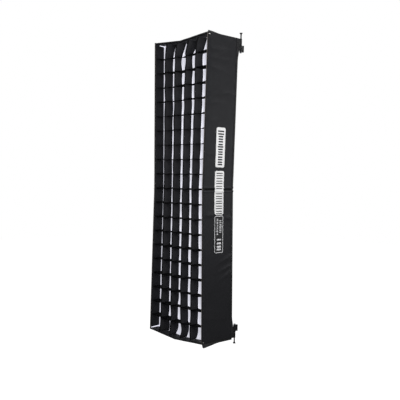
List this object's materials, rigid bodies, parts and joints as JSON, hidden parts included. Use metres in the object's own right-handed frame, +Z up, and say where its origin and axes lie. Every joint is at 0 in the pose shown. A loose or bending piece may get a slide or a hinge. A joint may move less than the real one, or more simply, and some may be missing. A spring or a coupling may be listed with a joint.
{
  "type": "strip softbox",
  "caption": "Tall black collapsible box softbox with a white diffuser and a fabric eggcrate grid, for a long light panel; its walls fold flat sideways.",
  "frame": {"origin": "centre of the rear opening, in the plane of its rear corners, where the light panel sits", "axes": "+Z up the long side, -Y out of the lit front, +X to the right as the rear is seen from the front"},
  "size_m": [0.3688, 0.218, 1.374],
  "materials": {
    "stiffener_board": "matte polypropylene board",
    "black_nylon": "coated black nylon with a fine plain weave",
    "white_lining": "bright white reflective cloth",
    "fold_tape": "pale woven tape",
    "piping": "grey-brown corded piping",
    "black_webbing": "black ribbed webbing",
    "black_binding": "black grosgrain binding",
    "rivet_steel": "bright nickel-plated rivet",
    "grid_fabric": "matte black grid fabric",
    "diffusion_cloth": "white translucent diffusion cloth",
    "hook_tape": "dark grey hook tape",
    "pale_label": "off-white woven label patch",
    "dark_label": "black label patch with a pale border",
    "moulded_rubber": "matte moulded black rubber",
    "grey_plastic": "dark grey moulded plastic",
    "black_plastic": "black moulded plastic"
  },
  "bodies": {
    "right_side": {"right_upper_board": "stiffener_board", "right_lower_board": "stiffener_board", "right_skin": "black_nylon", "right_lining": "white_lining", "right_fold_tape": "fold_tape", "right_front_piping": "piping", "right_rear_hem": "black_webbing", "right_seam_bindings": "black_binding", "right_rivets": "rivet_steel", "top_front_lip": "black_nylon", "bottom_front_lip": "black_nylon", "grid_band": "grid_fabric", "grid_long_strips": "grid_fabric", "grid_cross_strips": "grid_fabric", "diffuser": "diffusion_cloth", "diffuser_tape": "hook_tape", "upper_label": "pale_label", "middle_label": "pale_label", "lower_label": "dark_label", "right_corner_posts": "moulded_rubber", "right_post_sleeves": "black_webbing", "right_post_collars": "grey_plastic"},
    "left_side": {"left_upper_board": "stiffener_board", "left_lower_board": "stiffener_board", "left_skin": "black_nylon", "left_lining": "white_lining", "left_fold_tape": "fold_tape", "left_front_piping": "piping", "left_rear_hem": "black_webbing", "left_seam_bindings": "black_binding", "left_rivets": "rivet_steel", "left_corner_posts": "moulded_rubber", "left_post_sleeves": "black_webbing", "left_post_collars": "grey_plastic"},
    "top_right_half": {"top_right_board": "stiffener_board", "top_right_skin": "black_nylon", "top_right_lining": "white_lining"},
    "top_left_half": {"top_left_board": "stiffener_board", "top_left_skin": "black_nylon", "top_left_lining": "white_lining"},
    "bottom_right_half": {"bottom_right_board": "stiffener_board", "bottom_right_skin": "black_nylon", "bottom_right_lining": "white_lining"},
    "bottom_left_half": {"bottom_left_board": "stiffener_board", "bottom_left_skin": "black_nylon", "bottom_left_lining": "white_lining"},
    "upper_right_latch": {"upper_right_latch": "black_plastic"},
    "upper_left_latch": {"upper_left_latch": "black_plastic"},
    "lower_right_latch": {"lower_right_latch": "black_plastic"},
    "lower_left_latch": {"lower_left_latch": "black_plastic"}
  },
  "joints": [
    {"name": "collapse", "type": "hinge", "parent": "right_side", "child": "top_right_half", "pos_m": [0.1738, 0, 0.6548], "axis": [0, -1, 0], "range_deg": [0, 78], "deforming": ["top_front_lip", "bottom_front_lip", "grid_band", "grid_long_strips", "grid_cross_strips", "diffuser", "diffuser_tape"]},
    {"name": "top_ridge_fold", "type": "hinge", "parent": "top_right_half", "child": "top_left_half", "pos_m": [0, 0, 0.64698], "axis": [0, -1, 0], "range_deg": [-156, 0]},
    {"name": "top_left_fold", "type": "hinge", "parent": "top_left_half", "child": "left_side", "pos_m": [-0.1738, 0, 0.6548], "axis": [0, -1, 0], "range_deg": [0, 78]},
    {"name": "bottom_right_fold", "type": "hinge", "parent": "right_side", "child": "bottom_right_half", "pos_m": [0.1738, 0, -0.66], "axis": [0, -1, 0], "range_deg": [0, 78]},
    {"name": "bottom_ridge_fold", "type": "hinge", "parent": "bottom_right_half", "child": "bottom_left_half", "pos_m": [0, 0, -0.66782], "axis": [0, -1, 0], "range_deg": [-156, 0]},
    {"name": "upper_right_latch_swing", "type": "hinge", "parent": "right_side", "child": "upper_right_latch", "pos_m": [0.1774, 0.008, 0.6], "axis": [0, 0, 1], "range_deg": [0, 90]},
    {"name": "upper_left_latch_swing", "type": "hinge", "parent": "left_side", "child": "upper_left_latch", "pos_m": [-0.1774, 0.008, 0.6], "axis": [0, 0, -1], "range_deg": [0, 90]},
    {"name": "lower_right_latch_swing", "type": "hinge", "parent": "right_side", "child": "lower_right_latch", "pos_m": [0.1774, 0.008, -0.6], "axis": [0, 0, 1], "range_deg": [0, 90]},
    {"name": "lower_left_latch_swing", "type": "hinge", "parent": "left_side", "child": "lower_left_latch", "pos_m": [-0.1774, 0.008, -0.6], "axis": [0, 0, -1], "range_deg": [0, 90]}
  ],
  "couplings": [
    {"joint": "top_ridge_fold", "follows": "collapse", "ratio": -2},
    {"joint": "top_left_fold", "follows": "collapse", "ratio": 1},
    {"joint": "bottom_right_fold", "follows": "collapse", "ratio": 1},
    {"joint": "bottom_ridge_fold", "follows": "collapse", "ratio": -2}
  ]
}
